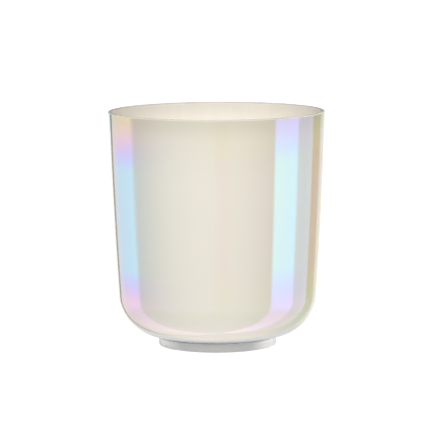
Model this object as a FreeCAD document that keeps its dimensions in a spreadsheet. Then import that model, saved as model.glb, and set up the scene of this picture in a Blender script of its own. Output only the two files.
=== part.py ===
"""Crystal singing bowl on its support ring, as a parametric FreeCAD document (millimetres, +Z up).

The bowl is one fused-quartz vessel: a tall wall that bows out very slightly, a rounded corner
and a shallow crowned floor, closed below and open above. It can't stand on its crown, so it
rests on the rounded seat edge of a loose silicone ring. The origin is on the axis, in the plane
that the ring stands on.
"""

import FreeCAD, Part
import math
import os

import Sketcher

# name, value (millimetres, or degrees for the lean), what it is
DIMENSIONS = [
    ("rim_radius", 100.0, "outer radius of the bowl at the rim"),
    ("rim_height", 217.5, "top of the rim above the standing plane"),
    ("rim_lean", 1.72, "outward lean of the wall at the rim, in degrees"),
    ("wall_bow", 5000.0, "outer radius of the wall's slight outward bow"),
    ("wall_thickness", 3.0, "thickness of the wall"),
    ("floor_thickness", 5.0, "thickness of the floor"),
    ("corner_radius", 39.0, "outer radius between wall and floor"),
    ("crown_radius", 360.0, "outer radius of the crowned floor"),
    ("rim_rounding", 1.0, "fire-polished edges of the rim"),
    ("ring_outer_radius", 54.5, "outside of the support ring"),
    ("ring_inner_radius", 46.0, "bore of the support ring"),
    ("ring_height", 8.0, "height of the support ring"),
    ("ring_rounding", 0.8, "moulded edges of the support ring"),
    ("seat_rounding", 1.6, "upper inner edge of the ring, which carries the bowl"),
    ("seat_gap", 0.15, "running clearance between the bowl and its seat"),
]

# Height of the crown's centre at which the crown clears the seat edge by seat_gap.
CROWN_CENTRE = (
    "Dimensions.ring_height - Dimensions.seat_rounding"
    " + sqrt(pow(Dimensions.crown_radius + Dimensions.seat_rounding + Dimensions.seat_gap; 2)"
    " - pow(Dimensions.ring_inner_radius + Dimensions.seat_rounding; 2))"
)

START, END, CENTRE = 1, 2, 3  # Sketcher's names for the points of a curve
ORIGIN, VERTICAL_AXIS = -1, -2  # Sketcher's names for its own origin and axis
FULL_TURN = 360
TINY = 1e-3


def make_sheet(doc):
    """The driving dimensions, one aliased cell each."""
    sheet = doc.addObject("Spreadsheet::Sheet", "Dimensions")
    for row, (alias, value, meaning) in enumerate(DIMENSIONS, start=1):
        sheet.set(f"A{row}", meaning)
        sheet.set(f"B{row}", str(value))
        sheet.setAlias(f"B{row}", alias)
    doc.recompute()
    return sheet


def make_body(doc, label):
    body = doc.addObject("PartDesign::Body", label)
    body.Label = label
    return body


def half_section(body, name):
    """An empty sketch on the body's own XZ plane: X is the radius and Y is the height."""
    plane = next(f for f in body.Origin.OriginFeatures if f.Role == "XZ_Plane")
    sketch = body.newObject("Sketcher::SketchObject", name)
    sketch.AttachmentSupport = (plane, "")
    sketch.MapMode = "FlatFace"
    return sketch


def line(sketch, start, end):
    return sketch.addGeometry(Part.LineSegment(start, end), False)


def arc(sketch, centre, radius, start_deg, end_deg):
    circle = Part.Circle(centre, FreeCAD.Vector(0, 0, 1), radius)
    curve = Part.ArcOfCircle(circle, math.radians(start_deg), math.radians(end_deg))
    return sketch.addGeometry(curve, False)


def relate(sketch, kind, *places):
    sketch.addConstraint(Sketcher.Constraint(kind, *places))


def measure(sketch, name, expression, kind, *places):
    """A dimension of the sketch, given by an expression on the sheet's cells."""
    index = sketch.addConstraint(Sketcher.Constraint(kind, *places))
    sketch.renameConstraint(index, name)
    sketch.setExpression(f"Constraints.{name}", expression)


def revolve(body, sketch, name):
    turned = body.newObject("PartDesign::Revolution", name)
    turned.Profile = sketch
    turned.ReferenceAxis = (sketch, ["V_Axis"])
    turned.Angle = FULL_TURN
    body.Document.recompute()
    return turned


def round_edges(body, base, name, expression, chosen):
    """Rounds the level circles of base for which chosen(radius, height) is true."""
    names = []
    for number, edge in enumerate(base.Shape.Edges, start=1):
        at_pole = edge.Length < TINY
        if at_pole or not isinstance(edge.Curve, Part.Circle):
            continue
        is_level = abs(edge.Curve.Axis.z) > 1 - TINY
        if is_level and chosen(edge.Curve.Radius, edge.Curve.Center.z):
            names.append(f"Edge{number}")
    rounding = body.newObject("PartDesign::Fillet", name)
    rounding.Base = (base, names)
    rounding.setExpression("Radius", expression)
    body.Tip = rounding
    body.Document.recompute()
    return rounding


def make_bowl(doc, sheet):
    """The quartz vessel: one closed section, turned about the axis, with a polished rim."""
    body = make_body(doc, "quartz_bowl")
    sketch = half_section(body, "bowl_section")
    rim_radius, rim_height = sheet.rim_radius, sheet.rim_height
    bow, thick, floor = sheet.wall_bow, sheet.wall_thickness, sheet.floor_thickness
    corner, crown = sheet.corner_radius, sheet.crown_radius
    point = FreeCAD.Vector

    # Rough places, which the constraints below then settle.
    lean = math.radians(sheet.rim_lean)
    bow_centre = point(rim_radius - bow * math.cos(lean), rim_height + bow * math.sin(lean), 0)
    corner_centre = point(rim_radius - 1.2 * corner, sheet.ring_height + corner, 0)
    crown_centre = point(0, sheet.ring_height + crown, 0)
    crown_end = -80  # degrees round from +X, where the crown meets the corner
    wall_foot = -2 * sheet.rim_lean  # degrees round from +X, where the wall meets the corner

    outer_wall = arc(sketch, bow_centre, bow, wall_foot, -sheet.rim_lean)
    outer_corner = arc(sketch, corner_centre, corner, crown_end, wall_foot)
    outer_crown = arc(sketch, crown_centre, crown, -90, crown_end)
    axis = line(sketch, point(0, crown_centre.y - crown, 0), point(0, crown_centre.y - crown + floor, 0))
    inner_crown = arc(sketch, crown_centre, crown - floor, -90, crown_end)
    inner_corner = arc(sketch, corner_centre, corner - thick, crown_end, wall_foot)
    inner_wall = arc(sketch, bow_centre, bow - thick, wall_foot, -sheet.rim_lean)
    rim = line(sketch, point(rim_radius - thick, rim_height, 0), point(rim_radius, rim_height, 0))

    relate(sketch, "Tangent", outer_corner, END, outer_wall, START)
    relate(sketch, "Tangent", outer_crown, END, outer_corner, START)
    relate(sketch, "Coincident", outer_crown, START, axis, START)
    relate(sketch, "Coincident", axis, END, inner_crown, START)
    relate(sketch, "Tangent", inner_crown, END, inner_corner, START)
    relate(sketch, "Tangent", inner_corner, END, inner_wall, START)
    relate(sketch, "Coincident", inner_wall, END, rim, START)
    relate(sketch, "Coincident", rim, END, outer_wall, END)
    relate(sketch, "Horizontal", rim)
    relate(sketch, "Coincident", inner_wall, CENTRE, outer_wall, CENTRE)
    relate(sketch, "Coincident", inner_crown, CENTRE, outer_crown, CENTRE)
    relate(sketch, "PointOnObject", axis, START, VERTICAL_AXIS)
    relate(sketch, "PointOnObject", axis, END, VERTICAL_AXIS)
    relate(sketch, "PointOnObject", outer_crown, CENTRE, VERTICAL_AXIS)

    measure(sketch, "rim_radius", "Dimensions.rim_radius",
            "DistanceX", ORIGIN, START, rim, END, rim_radius)
    measure(sketch, "rim_height", "Dimensions.rim_height",
            "DistanceY", ORIGIN, START, rim, END, rim_height)
    measure(sketch, "bow_centre", "Dimensions.wall_bow * sin(Dimensions.rim_lean)",
            "DistanceY", rim, END, outer_wall, CENTRE, bow * math.sin(lean))
    measure(sketch, "outer_bow", "Dimensions.wall_bow", "Radius", outer_wall, bow)
    measure(sketch, "inner_bow", "Dimensions.wall_bow - Dimensions.wall_thickness",
            "Radius", inner_wall, bow - thick)
    measure(sketch, "outer_corner", "Dimensions.corner_radius", "Radius", outer_corner, corner)
    measure(sketch, "inner_corner", "Dimensions.corner_radius - Dimensions.wall_thickness",
            "Radius", inner_corner, corner - thick)
    measure(sketch, "outer_crown", "Dimensions.crown_radius", "Radius", outer_crown, crown)
    measure(sketch, "inner_crown", "Dimensions.crown_radius - Dimensions.floor_thickness",
            "Radius", inner_crown, crown - floor)
    measure(sketch, "crown_centre", CROWN_CENTRE,
            "DistanceY", ORIGIN, START, outer_crown, CENTRE, crown_centre.y)

    vessel = revolve(body, sketch, "bowl_turned")
    round_edges(body, vessel, "rim_polish", "Dimensions.rim_rounding",
                lambda radius, height: abs(height - rim_height) < TINY)
    return body


def make_ring(doc, sheet):
    """The silicone ring: a squat rectangular section with moulded edges and a rounder seat."""
    body = make_body(doc, "support_ring")
    sketch = half_section(body, "ring_section")
    inner, outer, height = sheet.ring_inner_radius, sheet.ring_outer_radius, sheet.ring_height
    point = FreeCAD.Vector

    base = line(sketch, point(inner, 0, 0), point(outer, 0, 0))
    outside = line(sketch, point(outer, 0, 0), point(outer, height, 0))
    top = line(sketch, point(outer, height, 0), point(inner, height, 0))
    bore = line(sketch, point(inner, height, 0), point(inner, 0, 0))

    for first, second in ((base, outside), (outside, top), (top, bore), (bore, base)):
        relate(sketch, "Coincident", first, END, second, START)
    relate(sketch, "Horizontal", base)
    relate(sketch, "Horizontal", top)
    relate(sketch, "Vertical", outside)
    relate(sketch, "Vertical", bore)
    relate(sketch, "DistanceY", ORIGIN, START, base, START, 0)
    measure(sketch, "inner_radius", "Dimensions.ring_inner_radius",
            "DistanceX", ORIGIN, START, base, START, inner)
    measure(sketch, "outer_radius", "Dimensions.ring_outer_radius",
            "DistanceX", ORIGIN, START, base, END, outer)
    measure(sketch, "ring_height", "Dimensions.ring_height",
            "DistanceY", outside, START, outside, END, height)

    def is_seat(radius, level):
        return abs(radius - inner) < TINY and abs(level - height) < TINY

    ring = revolve(body, sketch, "ring_turned")
    seated = round_edges(body, ring, "seat_edge", "Dimensions.seat_rounding", is_seat)
    round_edges(body, seated, "moulded_edges", "Dimensions.ring_rounding",
                lambda radius, level: (abs(radius - outer) < TINY
                                       or (abs(radius - inner) < TINY and level < TINY)))
    return body


def check(doc, bodies):
    """Stops if an object failed, a sketch is loose or a solid is unsound."""
    for item in doc.Objects:
        if "Invalid" in item.State or "Error" in item.State:
            raise RuntimeError(f"{item.Label} failed: {item.State}")
        if item.isDerivedFrom("Sketcher::SketchObject") and not item.FullyConstrained:
            raise RuntimeError(f"{item.Label} isn't fully constrained")
    for body in bodies:
        shape = body.Shape
        if shape.isNull() or not shape.isValid() or len(shape.Solids) != 1:
            raise RuntimeError(f"{body.Label} isn't one sound solid")


def main():
    doc = FreeCAD.newDocument("singing_bowl")
    sheet = make_sheet(doc)
    bodies = [make_bowl(doc, sheet), make_ring(doc, sheet)]
    doc.recompute()
    check(doc, bodies)
    os.makedirs("parts", exist_ok=True)
    for body in bodies:
        body.Shape.exportStep(f"parts/{body.Label}.step")
        box = body.Shape.BoundBox
        print(f"{body.Label}: {body.Shape.Volume / 1000:.1f} cm3, "
              f"z {box.ZMin:.2f} to {box.ZMax:.2f}, width {box.XLength:.2f} mm")
    gap = bodies[0].Shape.distToShape(bodies[1].Shape)[0]
    print(f"gap between bowl and ring: {gap:.3f} mm")


main()
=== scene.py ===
import math

import bmesh
import bpy
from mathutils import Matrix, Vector


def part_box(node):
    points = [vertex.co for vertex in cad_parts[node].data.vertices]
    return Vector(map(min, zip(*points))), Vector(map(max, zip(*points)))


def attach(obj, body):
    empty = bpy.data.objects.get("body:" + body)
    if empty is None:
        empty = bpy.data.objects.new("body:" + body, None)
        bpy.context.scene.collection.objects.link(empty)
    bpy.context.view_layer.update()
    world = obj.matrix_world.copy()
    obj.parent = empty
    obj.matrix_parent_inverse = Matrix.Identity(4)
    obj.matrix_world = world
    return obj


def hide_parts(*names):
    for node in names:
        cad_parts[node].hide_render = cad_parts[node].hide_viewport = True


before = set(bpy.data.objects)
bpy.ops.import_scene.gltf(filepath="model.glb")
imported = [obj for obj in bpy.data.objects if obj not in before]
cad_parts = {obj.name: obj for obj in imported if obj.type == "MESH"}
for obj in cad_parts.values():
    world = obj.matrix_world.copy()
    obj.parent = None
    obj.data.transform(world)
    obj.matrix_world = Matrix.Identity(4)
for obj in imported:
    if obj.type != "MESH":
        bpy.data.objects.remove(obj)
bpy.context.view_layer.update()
mm = 0.001
black = (0, 0, 0, 1)
white = (1, 1, 1, 1)

bowlLow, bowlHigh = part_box("quartz_bowl")
rimHeight = bowlHigh.z


def finishMesh(bm, name, materials, smooth=True):
    # cleans a bmesh, turns its faces outwards and makes it an object at the origin
    bmesh.ops.remove_doubles(bm, verts=bm.verts, dist=1e-6)
    bmesh.ops.recalc_face_normals(bm, faces=bm.faces)
    for face in bm.faces:
        face.smooth = smooth
    mesh = bpy.data.meshes.new(name)
    bm.to_mesh(mesh)
    bm.free()
    for material in materials:
        mesh.materials.append(material)
    piece = bpy.data.objects.new(name, mesh)
    bpy.context.scene.collection.objects.link(piece)
    return piece


def bendOn(bm, vert, centre, degrees, steps):
    # carries the outline on from vert, round centre (radius, height), anticlockwise if degrees > 0
    out = bmesh.ops.spin(bm, geom=[vert], cent=(centre[0], 0, centre[1]), axis=(0, 1, 0), dvec=(0, 0, 0),
                         angle=-math.radians(degrees), steps=steps, use_merge=False, use_duplicate=False)
    return next(item for item in out["geom_last"] if isinstance(item, bmesh.types.BMVert))


def lineOn(bm, vert, place, steps):
    # carries the outline on from vert to place (radius, height), in equal steps
    target = Vector((place[0], 0, place[1]))
    start = vert.co.copy()
    for i in range(steps):
        out = bmesh.ops.extrude_vert_indiv(bm, verts=[vert])
        vert = out["verts"][0]
        vert.co = start.lerp(target, (i + 1) / steps)
    return vert


def turnRound(bm, steps):
    # turns the whole outline about Z into a closed skin
    bmesh.ops.spin(bm, geom=bm.verts[:] + bm.edges[:], cent=(0, 0, 0), axis=(0, 0, 1), dvec=(0, 0, 0),
                   angle=2 * math.pi, steps=steps, use_merge=True, use_duplicate=False)


def heading(fromPlace, toPlace):
    # direction from one (radius, height) place to another, in degrees anticlockwise from level
    return math.degrees(math.atan2(toPlace[1] - fromPlace[1], toPlace[0] - fromPlace[0]))


def meeting(placeA, reachA, placeB, reachB):
    # the lower right place at reachA from placeA and reachB from placeB
    apart = math.dist(placeA, placeB)
    along = (apart ** 2 + reachA ** 2 - reachB ** 2) / (2 * apart)
    across = math.sqrt(reachA ** 2 - along ** 2)
    ux, uz = (placeB[0] - placeA[0]) / apart, (placeB[1] - placeA[1]) / apart
    options = [(placeA[0] + along * ux + side * across * uz, placeA[1] + along * uz - side * across * ux)
               for side in (-1, 1)]
    return max(options, key=lambda place: place[0] - place[1])


class Value:
    # wraps a socket, so that shader maths can be written as expressions
    def __init__(self, tree, socket):
        self.tree = tree
        self.socket = socket

    def math(self, operation, *others):
        inputs = {0: self, **dict(enumerate(others, 1))}
        return self.tree.node("ShaderNodeMath", {"operation": operation}, inputs)

    def __add__(self, other):
        return self.math("ADD", other)

    def __radd__(self, other):
        return self.math("ADD", other)

    def __sub__(self, other):
        return self.math("SUBTRACT", other)

    def __rsub__(self, other):
        return self.tree.node("ShaderNodeMath", {"operation": "SUBTRACT"}, {0: other, 1: self})

    def __mul__(self, other):
        return self.math("MULTIPLY", other)

    def __rmul__(self, other):
        return self.math("MULTIPLY", other)

    def __truediv__(self, other):
        return self.math("DIVIDE", other)

    def __pow__(self, other):
        return self.math("POWER", other)


class Tree:
    # a material's or world's node tree; node() makes one node and gives one of its outputs
    def __init__(self, owner):
        owner.use_nodes = True
        self.nodes = owner.node_tree.nodes
        self.links = owner.node_tree.links
        self.nodes.clear()

    def node(self, kind, settings=None, inputs=None, output=0):
        made = self.nodes.new(kind)
        for name, setting in (settings or {}).items():
            if name == "stops":
                stops = made.color_ramp.elements
                while len(stops) < len(setting):
                    stops.new(0.5)
                for stop, (place, shade) in zip(stops, setting):
                    stop.position = place
                    stop.color = (*shade, 1) if isinstance(shade, tuple) else (shade, shade, shade, 1)
            else:
                setattr(made, name, setting)
        for name, value in (inputs or {}).items():
            socket = made.inputs[name]
            if isinstance(value, Value):
                self.links.new(value.socket, socket)
            else:
                socket.default_value = value
        return Value(self, made.outputs[output]) if made.outputs else None

    def mixColour(self, share, first, second, blend="MIX"):
        # the Mix node's colour sockets are its seventh and eighth, and its colour output is the third
        settings = {"data_type": "RGBA", "blend_type": blend}
        return self.node("ShaderNodeMix", settings, {0: share, 6: first, 7: second}, output=2)

    def times(self, first, second, share=1.0):
        # first as it is where share is 0, and multiplied by second where share is 1
        return self.mixColour(share, first, second, "MULTIPLY")

    def ramp(self, value, stops):
        return self.node("ShaderNodeValToRGB", {"stops": stops}, {0: value})

    def place(self):
        return self.node("ShaderNodeTexCoord", output="Object")

    def axes(self, vector):
        first = self.node("ShaderNodeSeparateXYZ", inputs={0: vector})
        return [Value(self, socket) for socket in first.socket.node.outputs]

    def aslant(self):
        # 0 where the surface faces the eye, 1 where it is seen edge on
        return self.node("ShaderNodeLayerWeight", inputs={"Blend": 0.5}, output="Facing")

    def step(self, value, low, high):
        # 0 below low, 1 above high, eased between
        inputs = {0: value, 1: low, 2: high}
        return self.node("ShaderNodeMapRange", {"interpolation_type": "SMOOTHSTEP"}, inputs)

    def noise(self, vector, scale, detail=2.0, roughness=0.5):
        inputs = {"Vector": vector, "Scale": scale, "Detail": detail, "Roughness": roughness}
        return self.node("ShaderNodeTexNoise", inputs=inputs)

    def bump(self, height, distance, strength):
        inputs = {"Height": height, "Distance": distance, "Strength": strength}
        return self.node("ShaderNodeBump", inputs=inputs)

    def finish(self, shader, kind="ShaderNodeOutputMaterial"):
        self.node(kind, inputs={"Surface": shader})


def newMaterial(name):
    material = bpy.data.materials.new(name)
    return material, Tree(material)


# heights are above the table, and a span says where a change with height begins and ends
film = dict(
    index=3.5,  # the higher, the less a slant shortens the path through the coat
    waves=(0.605, 0.540, 0.458),  # micrometres, for red, green and blue
    contrast=(0.90, 0.65, 0.90),  # how far each colour swings between dull and bright
    midThickness=0.1782,  # micrometres, half-way up the wall
    clouds=0.0015,  # micrometres of slow change in thickness
    cloudScale=14.0,
    topStart=rimHeight - 41.3 * mm,  # height above which it gets thinner
    topTilt=0.083,  # and how much higher that is for each metre to the right
    lowStart=78 * mm,  # height below which it gets thinner
    lowTilt=0.0406,
    fade=31 * mm,  # this far past either height it is fadeLoss thinner
    fadeLoss=0.0217,  # micrometres
    fadeTilt=-0.086,  # and how much more for each metre to the right
    falloff=0.8,
    lowMost=0.0235,  # the most that it loses below lowStart
    footLoss=0.036,  # micrometres thinner again where the bowl turns under, seen edge on
    footPower=3,
    faceShare=0.12,  # share of light that the film reflects face on
    edgeShare=0.42,  # and added to that edge on
    sharePower=2.2,
    faceHide=0.11,  # how much of the film's colour is missing from the body, face on
    edgeHide=0.55,  # and added to that edge on
    hidePower=1.2,
    cream=(0.885, 0.845, 0.735, 1),
    # painted shade: the cream is darker and yellower towards the rim
    creamTopShaded=(0.835, 0.785, 0.640, 1),
    creamSpan=(rimHeight - 67.5 * mm, rimHeight + 4.5 * mm),
    lipPaintedShade=(0.90, 0.88, 0.86, 1),  # painted shade: what is left of the body's colour next to the rim
    lipSpan=(rimHeight - 21.5 * mm, rimHeight - 1 * mm),
    lipGlossPaintedShade=(0.70, 0.80, 0.98, 1),  # painted shade on the reflection: what is left of the colours that the film reflects there
    glossSpan=(rimHeight - 33.5 * mm, rimHeight - 1 * mm),
    rimPaleness=0.1,  # share of white in the reflected colour at the rim
    paleSpan=(rimHeight - 27.5 * mm, rimHeight),
    palePower=5,  # the higher, the nearer the outline a reflection turns white
    footPaleness=0.65,  # share of white where the bowl turns under
    footSpan=(6 * mm, 34 * mm),
    lowSpan=(10 * mm, 60 * mm),  # down here the painted shade by slant fades out and the film hides less of the body
    # both lists go by slant, from face on to edge on; the first is painted shade on the body, the second
    # painted reflection bands and painted shade where the bowl turns under
    bodyPaintedShade=[(0.0, 0.99), (0.13, 0.93), (0.26, 0.845), (0.36, 0.795), (0.45, 0.78), (0.60, 0.82),
                (0.70, 0.89), (0.80, 0.86)],
    footPaintedReflectionAndShade=[(0.40, (1.0, 1.0, 1.0)), (0.50, (1.0, 0.96, 0.92)), (0.60, (1.0, 0.93, 0.89)),
                (0.65, (0.70, 0.82, 0.93)), (0.73, (0.68, 0.75, 0.87)), (0.80, (0.72, 0.62, 0.71)),
                (1.0, (0.70, 0.60, 0.66))],
    roughness=0.05,
    grainScale=900.0,
    grainDepth=0.01 * mm,
    grainStrength=0.1,
)


def filmTint(tree, place, aslant, foot):
    # colour that the film reflects: the path through it decides which colours strengthen
    x, z = tree.axes(place)[::2]
    inside = (1 - (1 - (1 - aslant) ** 2) / film["index"] ** 2) ** 0.5
    most = x * film["fadeTilt"] + film["fadeLoss"]
    top = (z - x * film["topTilt"] - film["topStart"]).math("MAXIMUM", 0)
    topLoss = (top / film["fade"]) ** film["falloff"] * most
    low = (x * film["lowTilt"] - z + film["lowStart"]).math("MAXIMUM", 0)
    lowLoss = ((low / film["fade"]) ** film["falloff"] * most).math("MINIMUM", film["lowMost"])
    footLoss = foot * aslant ** film["footPower"] * film["footLoss"]
    cloud = (tree.noise(place, film["cloudScale"], 1.0) - 0.5) * (2 * film["clouds"])
    thickness = film["midThickness"] - topLoss - lowLoss - footLoss + cloud
    path = thickness * inside * (2 * film["index"])
    shades = []
    for wave, contrast in zip(film["waves"], film["contrast"]):
        swing = (path * (2 * math.pi / wave)).math("COSINE")
        shades.append(0.5 - swing * (0.5 * contrast))
    return tree.node("ShaderNodeCombineColor", inputs=dict(enumerate(shades)))


def pearlCoat():
    material, tree = newMaterial("pearlCoat")
    place = tree.place()
    height = tree.axes(place)[2]
    aslant = tree.aslant()
    foot = 1 - tree.step(height, *film["footSpan"])
    low = 1 - tree.step(height, *film["lowSpan"])
    # painted reflection bands of the table and painted shade, by slant, where the bowl turns under
    footShade = tree.ramp(aslant, film["footPaintedReflectionAndShade"])
    tint = filmTint(tree, place, aslant, foot)
    bump = tree.bump(tree.noise(place, film["grainScale"]), film["grainDepth"], film["grainStrength"])

    # the body seen through the film, less some of what the film sends back, with painted shade on it
    # painted shade: darker, yellower cream towards the rim
    glaze = tree.mixColour(tree.step(height, *film["creamSpan"]), film["cream"], film["creamTopShaded"])
    # painted shade next to the rim
    glaze = tree.times(glaze, film["lipPaintedShade"], tree.step(height, *film["lipSpan"]))
    glaze = tree.times(glaze, footShade, foot)
    # painted shade by slant on the body, which fades out towards the foot
    shade = tree.mixColour(low, tree.ramp(aslant, film["bodyPaintedShade"]), white)
    hide = aslant ** film["hidePower"] * film["edgeHide"] + film["faceHide"]
    hide = hide * (1 - low * film["footPaleness"])
    left = tree.mixColour(hide, white, tree.mixColour(1.0, white, tint, "SUBTRACT"))
    body = tree.times(tree.times(glaze, shade), left)
    under = tree.node("ShaderNodeBsdfPrincipled", inputs={
        "Base Color": body, "Roughness": film["roughness"], "Normal": bump, "Specular IOR Level": 0.0})

    # the film's own mirror, paler at the rim, at the outline and where the bowl turns under, with painted
    # shade near the rim and painted reflection bands and shade at the foot
    paleness = aslant ** film["palePower"] + foot * film["footPaleness"]
    paleness = paleness + tree.step(height, *film["paleSpan"]) * film["rimPaleness"]
    gloss = tree.mixColour(paleness, tint, white)
    # painted shade on the reflection near the rim
    gloss = tree.times(gloss, film["lipGlossPaintedShade"], tree.step(height, *film["glossSpan"]))
    gloss = tree.times(gloss, footShade, foot)
    shine = tree.node("ShaderNodeBsdfPrincipled", inputs={
        "Base Color": gloss, "Roughness": film["roughness"], "Normal": bump, "Metallic": 1.0})

    share = aslant ** film["sharePower"] * film["edgeShare"] + film["faceShare"]
    tree.finish(tree.node("ShaderNodeMixShader", inputs={0: share, 1: under, 2: shine}))
    return material


frost = dict(
    darker=(0.90, 0.86, 0.79, 1),
    lighter=(0.95, 0.92, 0.86, 1),
    cloudScale=25.0,
    streakScale=260.0,
    streakSquash=0.02,  # the lower, the longer the streaks run up the wall
    streakShare=0.6,  # of the change in tone; the clouds make the rest
    lipPaintedShade=(0.87, 0.86, 0.83, 1),  # painted shade: what is left of the colour next to the rim
    lipSpan=(rimHeight - 27.5 * mm, rimHeight),
    through=(1.0, 0.95, 0.87, 1),  # painted light: a glow standing in for light that comes through the wall
    throughShare=0.075,
    deepShare=0.07,  # more of it below the rim
    streakGlow=0.3,  # how much the streaks change it
    roughness=0.62,
    cloudRoughness=0.1,
    index=1.46,
    grainScale=1600.0,
    grainDepth=0.05 * mm,
    grainStrength=0.5,
)


def frostedQuartz():
    material, tree = newMaterial("frostedQuartz")
    place = tree.place()
    x, y, z = tree.axes(place)
    cloud = tree.noise(place, frost["cloudScale"], 3.0)
    stretched = tree.node("ShaderNodeCombineXYZ", inputs={0: x, 1: y, 2: z * frost["streakSquash"]})
    streaks = tree.noise(stretched, frost["streakScale"], 3.0, 0.6)
    grain = tree.noise(place, frost["grainScale"], 2.0, 0.6)
    bump = tree.bump(grain, frost["grainDepth"], frost["grainStrength"])
    lip = tree.step(z, *frost["lipSpan"])
    mottle = cloud * (1 - frost["streakShare"]) + streaks * frost["streakShare"]
    # painted shade next to the rim, over the mottled tone
    tone = tree.times(tree.mixColour(mottle, frost["darker"], frost["lighter"]), frost["lipPaintedShade"], lip)
    # painted light: the inside glows as an emission, more where it faces the eye and below the rim
    glow = (1 - tree.aslant()) ** 0.5 * ((1 - lip) * frost["deepShare"] + frost["throughShare"])
    glow = glow * (streaks * frost["streakGlow"] + (1 - frost["streakGlow"] / 2))
    tree.finish(tree.node("ShaderNodeBsdfPrincipled", inputs={
        "Base Color": tone, "Normal": bump, "IOR": frost["index"],
        "Roughness": cloud * frost["cloudRoughness"] + frost["roughness"],
        "Emission Color": tree.mixColour(glow, black, frost["through"]), "Emission Strength": 1.0}))
    return material


polish = dict(
    darker=(0.68, 0.65, 0.57, 1),
    lighter=(0.78, 0.75, 0.67, 1),
    cloudScale=60.0,
    roughness=0.22,
    cloudRoughness=0.10,
    index=1.30,
)


def polishedRim():
    material, tree = newMaterial("polishedRim")
    cloud = tree.noise(tree.place(), polish["cloudScale"])
    tree.finish(tree.node("ShaderNodeBsdfPrincipled", inputs={
        "Base Color": tree.mixColour(cloud, polish["darker"], polish["lighter"]),
        "Roughness": cloud * polish["cloudRoughness"] + polish["roughness"], "IOR": polish["index"]}))
    return material


bowl = dict(
    rimLean=1.72,  # degrees, outward lean of the wall at the rim
    wallBow=5000 * mm,  # radius of the wall's slight outward bow
    wallThick=3.0 * mm,
    floorThick=5.0 * mm,
    cornerRadius=39 * mm,
    crownRadius=360 * mm,
    rimRound=1.0 * mm,
    stepsRound=256,
    crownSteps=14,
    cornerSteps=26,
    wallSteps=30,
    rimSteps=6,
)


def bowlSide(bm, start, wallCentre, crownCentre, inward):
    # half of the outline, from the axis up to the rim's flat top
    wall = bowl["wallThick"] if inward else 0
    floor = bowl["floorThick"] if inward else 0
    wallReach = bowl["wallBow"] - wall
    crownReach = bowl["crownRadius"] - floor
    cornerReach = bowl["cornerRadius"] - wall
    corner = meeting(crownCentre, crownReach - cornerReach, wallCentre, wallReach - cornerReach)
    roundHeight = rimHeight - bowl["rimRound"]
    roundReach = wallReach + (bowl["rimRound"] if inward else -bowl["rimRound"])
    roundRadius = wallCentre[0] + math.sqrt(roundReach ** 2 - (roundHeight - wallCentre[1]) ** 2)
    rimCentre = (roundRadius, roundHeight)
    crownEnd = heading(crownCentre, corner)
    cornerEnd = heading(wallCentre, corner)
    wallEnd = heading(wallCentre, rimCentre)
    vert = bendOn(bm, start, crownCentre, crownEnd + 90, bowl["crownSteps"])
    vert = bendOn(bm, vert, corner, cornerEnd - crownEnd, bowl["cornerSteps"])
    vert = bendOn(bm, vert, wallCentre, wallEnd - cornerEnd, bowl["wallSteps"])
    turn = -(90 + wallEnd) if inward else 90 - wallEnd
    return bendOn(bm, vert, rimCentre, turn, bowl["rimSteps"])


def makeBowl():
    lean = math.radians(bowl["rimLean"])
    wallCentre = (bowlHigh.x - bowl["wallBow"] * math.cos(lean), rimHeight + bowl["wallBow"] * math.sin(lean))
    crownCentre = (0.0, bowlLow.z + bowl["crownRadius"])
    bm = bmesh.new()
    bottom = bm.verts.new((0, 0, bowlLow.z))
    floor = bm.verts.new((0, 0, bowlLow.z + bowl["floorThick"]))
    outerLip = bowlSide(bm, bottom, wallCentre, crownCentre, inward=False)
    innerLip = bowlSide(bm, floor, wallCentre, crownCentre, inward=True)
    bm.edges.new((outerLip, innerLip))
    turnRound(bm, bowl["stepsRound"])
    piece = finishMesh(bm, "bowl", [pearlCoat(), frostedQuartz(), polishedRim()])
    coatSlot, frostSlot, rimSlot = range(3)
    middle = Vector((0, 0, (bowlLow.z + rimHeight) / 2))
    for face in piece.data.polygons:
        if face.center.z > rimHeight - bowl["rimRound"]:
            face.material_index = rimSlot
        elif face.normal.dot(middle - face.center) > 0:
            face.material_index = frostSlot
        else:
            face.material_index = coatSlot
    return piece


bowlPiece = makeBowl()
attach(bowlPiece, "bowl")
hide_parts("quartz_bowl")
print("bowl made:", len(bowlPiece.data.polygons), "faces")


ring = dict(
    thick=8.5 * mm,
    baseRound=1.6 * mm,  # lower edges
    topRound=0.8 * mm,  # upper outer edge
    seatRound=1.6 * mm,  # upper inner edge, under the bowl
    stepsRound=192,
    edgeSteps=6,
    sideSteps=3,
    darker=(0.88, 0.89, 0.89, 1),
    lighter=(0.98, 0.98, 0.98, 1),
    shades=[(0.0, 0.62), (0.20, 0.60), (0.38, 0.80), (0.62, 0.84), (0.80, 0.70), (1.0, 0.50)],  # painted light and shade on the silicone, by slant
    cloudScale=30.0,
    roughness=0.25,
    cloudRoughness=0.1,
    index=1.41,
    clearness=0.4,
    glow=0.06,  # painted light: a glow standing in for light that has gone round inside the silicone
    grainScale=500.0,
    grainDepth=0.02 * mm,
    grainStrength=0.3,
)


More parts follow.
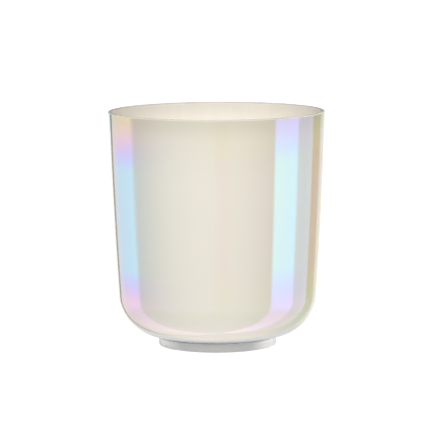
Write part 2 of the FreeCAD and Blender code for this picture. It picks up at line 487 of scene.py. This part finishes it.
def clearSilicone():
    material, tree = newMaterial("clearSilicone")
    place = tree.place()
    cloud = tree.noise(place, ring["cloudScale"])
    tone = tree.mixColour(cloud, ring["darker"], ring["lighter"])
    # painted light and shade by slant on the silicone's colour
    tone = tree.times(tree.ramp(tree.aslant(), ring["shades"]), tone)
    bump = tree.bump(tree.noise(place, ring["grainScale"]), ring["grainDepth"], ring["grainStrength"])
    # painted light: the silicone glows with its own colour
    tree.finish(tree.node("ShaderNodeBsdfPrincipled", inputs={
        "Base Color": tone, "Roughness": cloud * ring["cloudRoughness"] + ring["roughness"],
        "Normal": bump, "IOR": ring["index"], "Transmission Weight": ring["clearness"],
        "Emission Color": tone, "Emission Strength": ring["glow"]}))
    return material


def makeRing():
    low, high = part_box("support_ring")
    outer = high.x
    inner = outer - ring["thick"]
    base, top, seat = ring["baseRound"], ring["topRound"], ring["seatRound"]
    bm = bmesh.new()
    vert = bm.verts.new((inner + base, 0, low.z))
    # where each side ends, and the centre of the rounded edge after it
    sides = [
        ((outer - base, low.z), (outer - base, low.z + base)),
        ((outer, high.z - top), (outer - top, high.z - top)),
        ((inner + seat, high.z), (inner + seat, high.z - seat)),
        ((inner, low.z + base), (inner + base, low.z + base)),
    ]
    for end, centre in sides:
        vert = lineOn(bm, vert, end, ring["sideSteps"])
        vert = bendOn(bm, vert, centre, 90, ring["edgeSteps"])
    turnRound(bm, ring["stepsRound"])
    return finishMesh(bm, "ring", [clearSilicone()])


ringPiece = makeRing()
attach(ringPiece, "ring")
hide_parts("support_ring")
print("ring made:", len(ringPiece.data.polygons), "faces")


studio = dict(
    floorReach=40.0,
    floorShade=0.25,
    floorRoughness=0.9,
    glow=1.10,  # the floor's own light, like a lit table
    unseen=(0.8, 0.8, 0.8, 1),  # what is left of it except towards the camera
    tableRadius=0.055,  # beyond this the floor doesn't show in reflections
    tableFade=0.03,
    tableLight=0.9,  # what reflections looking steeply down find instead
    tableSpan=(0.50, 0.95),  # how steeply down that begins, and where it is full
    dome=0.22,
    domeSpan=(-0.03, 0.0),  # how far up the panels give way to the dome
    panelStrength=4.6,
    lowLoss=0.40,  # share of the panels' light missing lower down
    lowSpan=(0.20, 0.50),
    # degrees round to the right from straight in front of the bowl, and the share of full light there
    panels=[(-180, 0.40), (-157, 0.42), (-155, 0.05), (-150, 0.05), (-148, 0.42), (-142, 0.46),
            (-127, 0.64), (-107, 0.86), (-104, 0.78), (-100, 0.46), (-94, 0.38), (-65, 0.28), (-40, 0.21),
            (-20, 0.16), (-3, 0.15), (-1, 0.06), (13, 0.06), (16, 0.13), (40, 0.12), (64, 0.13), (67, 0.97),
            (80, 1.0), (90, 1.0), (96, 0.98), (100, 0.42), (118, 0.38), (124, 0.36), (127, 0.05),
            (144, 0.05), (148, 0.20), (152, 0.26), (180, 0.26)],
)

lamps = dict(
    key=dict(place=(-0.25, -2.6, 1.7), aim=(0, 0, 0.1), size=(1.4, 1.1), power=36, mirrored=True),
    side=dict(place=(1.75, 1.0, 0.12), aim=(0, 0, 0.1), size=(0.6, 0.24), power=26, mirrored=False),
    top=dict(place=(0.0, -0.7, 2.0), aim=(0, 0, 0.15), size=(0.9, 0.7), power=14, mirrored=True),
)

shot = dict(
    lens=255.6,
    sensor=36.0,
    nearest=0.1,
    farthest=100,
    place=(0.0, -2.805, 0.4585),
    dip=6.87,  # degrees below level
    roll=0.3,  # degrees
)


def makeFloor():
    material, tree = newMaterial("studioFloor")
    x, y = tree.axes(tree.place())[:2]
    fromBowl = (x * x + y * y) ** 0.5
    mirrored = tree.node("ShaderNodeLightPath", output="Is Glossy Ray")
    edge = studio["tableRadius"]
    away = tree.step(fromBowl, edge, edge + studio["tableFade"]) * mirrored
    camera = tree.node("ShaderNodeLightPath", output="Is Camera Ray")
    shade = studio["floorShade"]
    lit = tree.node("ShaderNodeBsdfPrincipled", inputs={
        "Base Color": (shade, shade, shade, 1), "Roughness": studio["floorRoughness"],
        "Specular IOR Level": 0.0, "Emission Color": tree.mixColour(camera, studio["unseen"], white),
        "Emission Strength": studio["glow"]})
    clear = tree.node("ShaderNodeBsdfTransparent")
    tree.finish(tree.node("ShaderNodeMixShader", inputs={0: away, 1: lit, 2: clear}))
    bm = bmesh.new()
    bmesh.ops.create_grid(bm, x_segments=1, y_segments=1, size=studio["floorReach"])
    floor = finishMesh(bm, "floor", [material], smooth=False)


def makeWorld():
    # a soft dome above, and tall panels and dark gaps round the table; the camera sees plain white
    world = bpy.data.worlds.new("studio")
    bpy.context.scene.world = world
    tree = Tree(world)
    x, y, z = tree.axes(tree.node("ShaderNodeTexCoord", output="Generated"))
    turn = x.math("ARCTAN2", 0 - y) / (2 * math.pi) + 0.5
    around = tree.ramp(turn, [(0.5 + degrees / 360, shade) for degrees, shade in studio["panels"]])
    down = 0 - z
    table = tree.step(down, *studio["tableSpan"]) * studio["tableLight"]
    lower = 1 - tree.step(down, *studio["lowSpan"]) * studio["lowLoss"]
    level = (around * lower * studio["panelStrength"]).math("MAXIMUM", table)
    side = tree.node("ShaderNodeBackground", inputs={0: white, 1: level})
    dome = tree.node("ShaderNodeBackground", inputs={0: white, 1: studio["dome"]})
    plain = tree.node("ShaderNodeBackground", inputs={0: white, 1: 1.0})
    above = tree.step(z, *studio["domeSpan"])
    light = tree.node("ShaderNodeMixShader", inputs={0: above, 1: side, 2: dome})
    camera = tree.node("ShaderNodeLightPath", output="Is Camera Ray")
    seen = tree.node("ShaderNodeMixShader", inputs={0: camera, 1: light, 2: plain})
    tree.finish(seen, "ShaderNodeOutputWorld")


def makeLamp(name, place, aim, size, power, mirrored):
    data = bpy.data.lights.new(name, "AREA")
    data.shape = "RECTANGLE"
    data.size, data.size_y = size
    data.energy = power
    lamp = bpy.data.objects.new(name, data)
    lamp.location = place
    lamp.rotation_euler = (Vector(aim) - Vector(place)).to_track_quat("-Z", "Y").to_euler()
    lamp.visible_camera = False
    lamp.visible_glossy = mirrored
    bpy.context.scene.collection.objects.link(lamp)


def makeCamera():
    data = bpy.data.cameras.new("camera")
    data.lens = shot["lens"]
    data.sensor_width = shot["sensor"]
    data.clip_start, data.clip_end = shot["nearest"], shot["farthest"]
    camera = bpy.data.objects.new("camera", data)
    camera.location = shot["place"]
    camera.rotation_euler = (math.radians(90 - shot["dip"]), math.radians(shot["roll"]), 0)
    bpy.context.scene.collection.objects.link(camera)
    bpy.context.scene.camera = camera


makeFloor()
makeWorld()
for lampName, lampValues in lamps.items():
    makeLamp(lampName, **lampValues)
makeCamera()
bpy.context.scene.view_settings.view_transform = "Standard"
print("studio set")
